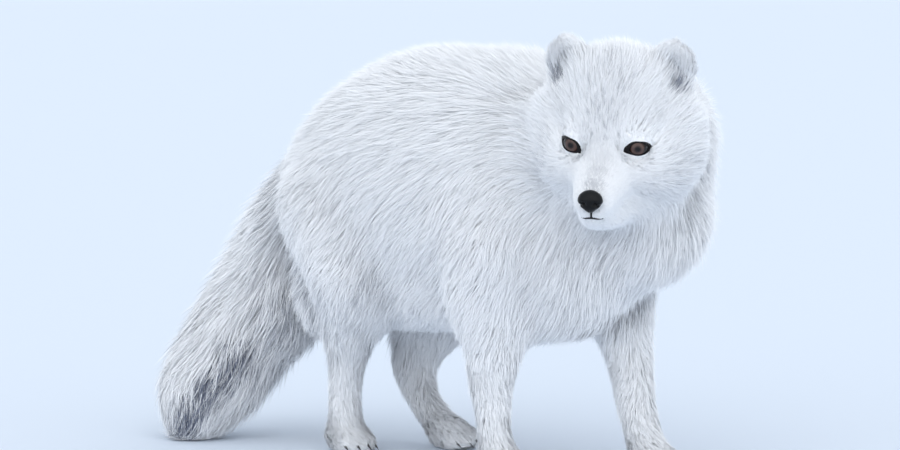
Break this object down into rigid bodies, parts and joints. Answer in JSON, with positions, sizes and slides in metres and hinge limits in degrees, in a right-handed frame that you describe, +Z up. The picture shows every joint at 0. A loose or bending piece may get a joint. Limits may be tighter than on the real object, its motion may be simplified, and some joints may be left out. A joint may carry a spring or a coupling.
{
  "type": "arctic fox figure",
  "caption": "Life-size arctic fox in white winter coat, standing mid-step with its head turned to its right and its bushy tail hanging to the floor.",
  "frame": {"origin": "middle of the model's footprint, on the floor that the soles stand on", "axes": "+Z up; the trunk runs along Y with the chest towards -Y; +X is the fox's left"},
  "size_m": [0.2222, 0.5472, 0.3531],
  "materials": {
    "coat_white": "long soft white winter fur",
    "coat_grey": "white fur over a smoke-grey undercoat",
    "eye": "wet, dark brown eye",
    "nose": "moist black nose leather"
  },
  "bodies": {
    "root": {"trunk": "coat_white", "neck": "coat_white", "head": "coat_white", "ear_left": "coat_white", "ear_right": "coat_white", "eye_left": "eye", "eye_right": "eye", "nose": "nose", "tail_root": "coat_white", "tail_tip": "coat_grey", "front_left_upper_leg": "coat_white", "front_left_lower_leg": "coat_white", "front_left_paw": "coat_white", "front_right_upper_leg": "coat_white", "front_right_lower_leg": "coat_white", "front_right_paw": "coat_white", "hind_left_upper_leg": "coat_white", "hind_left_lower_leg": "coat_white", "hind_left_paw": "coat_white", "hind_right_upper_leg": "coat_white", "hind_right_lower_leg": "coat_white", "hind_right_paw": "coat_white"}
  },
  "joints": []
}
